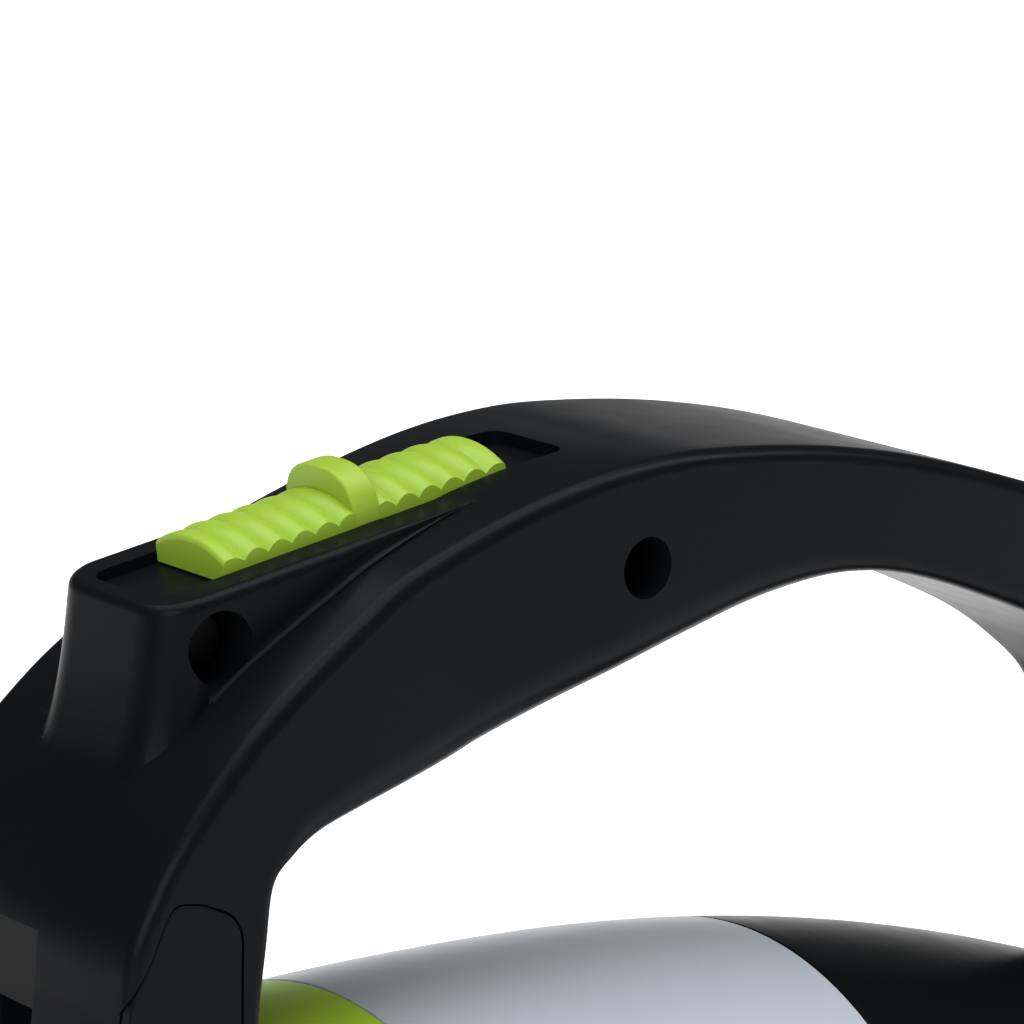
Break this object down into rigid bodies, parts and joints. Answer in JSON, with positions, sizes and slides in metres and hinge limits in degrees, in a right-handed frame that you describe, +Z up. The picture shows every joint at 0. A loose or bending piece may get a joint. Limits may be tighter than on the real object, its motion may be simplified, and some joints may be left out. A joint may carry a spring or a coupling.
{
  "type": "cordless snow shovel",
  "caption": "Battery powered snow shovel with an arch handle, thumb switch, folding shaft and paddle auger head.",
  "frame": {"origin": "centre of the bounding box on the floor", "axes": "+X to the rear, from the auger to the battery; +Y to the side away from the belt cover; +Z up"},
  "size_m": [1.22, 0.352, 0.27],
  "materials": {
    "black_plastic": "fine moulded texture",
    "lime_plastic": "satin moulded",
    "silver_plastic": "satin metallic",
    "dark_plastic": "smooth",
    "steel": "zinc plated",
    "tube_alloy": "satin anodised",
    "rubber": "soft matte",
    "copper": "bright",
    "cell_wrap": "shrink wrapped",
    "board": "solder mask",
    "motor_iron": "painted"
  },
  "bodies": {
    "head": {"auger_hood": "lime_plastic", "side_plate_left": "black_plastic", "side_plate_right": "black_plastic", "skid_left": "steel", "skid_right": "steel", "scraper_bar": "steel", "bearing_left": "steel", "bearing_right": "steel", "motor_can": "motor_iron", "motor_cover": "silver_plastic", "belt_cover": "silver_plastic", "drive_belt": "rubber", "pivot_ear_left": "black_plastic", "pivot_ear_right": "black_plastic", "pivot_bolt": "steel"},
    "rotor": {"rotor_shaft": "steel", "rotor_core": "black_plastic", "rotor_disc_left": "black_plastic", "rotor_disc_right": "black_plastic", "rotor_paddle_a": "rubber", "rotor_paddle_b": "rubber", "driven_pulley": "dark_plastic"},
    "motor_rotor": {"motor_shaft": "steel", "drive_pulley": "dark_plastic"},
    "pivot_knob": {"pivot_knob": "black_plastic"},
    "shaft": {"pivot_knuckle": "black_plastic", "lower_tube": "tube_alloy", "tube_coupler": "black_plastic", "upper_tube": "tube_alloy", "power_cable": "rubber", "aux_clamp_upper": "black_plastic", "aux_clamp_lower": "black_plastic", "aux_bolt": "steel", "handle_shell_left": "black_plastic", "handle_shell_right": "black_plastic", "handle_insert_left": "dark_plastic", "handle_insert_right": "dark_plastic", "handle_screw_front": "steel", "handle_screw_rear": "steel", "switch_module": "dark_plastic", "barrel_front_cap": "black_plastic", "collar_ring": "lime_plastic", "barrel_sleeve": "silver_plastic", "barrel_tail": "black_plastic", "controller_board": "board", "heat_sink": "tube_alloy", "capacitor": "dark_plastic", "battery_dock": "black_plastic", "dock_terminals": "copper"},
    "aux_handle": {"aux_handle": "black_plastic", "aux_grip": "rubber"},
    "aux_knob": {"aux_knob": "black_plastic"},
    "switch_slider": {"switch_slider": "lime_plastic"},
    "battery": {"battery_case": "dark_plastic", "battery_cover": "black_plastic", "battery_cells": "cell_wrap"},
    "battery_latch": {"battery_latch": "lime_plastic"}
  },
  "joints": [
    {"name": "head_pivot", "type": "hinge", "parent": "head", "child": "shaft", "pos_m": [-0.39358, 0, 0.15843], "axis": [0, -1, 0], "range_deg": [0, 45]},
    {"name": "rotor_spin", "type": "hinge", "parent": "head", "child": "rotor", "pos_m": [-0.518, 0, 0.097], "axis": [0, 1, 0], "continuous": true},
    {"name": "motor_spin", "type": "hinge", "parent": "head", "child": "motor_rotor", "pos_m": [-0.492, 0, 0.232], "axis": [0, 1, 0], "continuous": true},
    {"name": "pivot_knob_turn", "type": "hinge", "parent": "head", "child": "pivot_knob", "pos_m": [-0.39358, 0, 0.15843], "axis": [0, 1, 0], "continuous": true},
    {"name": "aux_handle_tilt", "type": "hinge", "parent": "shaft", "child": "aux_handle", "pos_m": [0.04602, 0, 0.13636], "axis": [0, 1, 0], "range_deg": [-40, 60]},
    {"name": "aux_knob_turn", "type": "hinge", "parent": "shaft", "child": "aux_knob", "pos_m": [0.04602, 0, 0.13636], "axis": [0, 1, 0], "continuous": true},
    {"name": "switch_slide", "type": "slide", "parent": "shaft", "child": "switch_slider", "axis": [0.9919, 0, 0.1271], "range_m": [-0.008, 0.008], "stiffness_N_per_m": 300},
    {"name": "battery_slide", "type": "slide", "parent": "shaft", "child": "battery", "axis": [0, 0, 1], "range_m": [0, 0.125]},
    {"name": "battery_latch_press", "type": "slide", "parent": "battery", "child": "battery_latch", "axis": [-1, 0, 0], "range_m": [0, 0.003], "stiffness_N_per_m": 400}
  ],
  "couplings": [
    {"joint": "motor_spin", "follows": "rotor_spin", "ratio": 3}
  ]
}
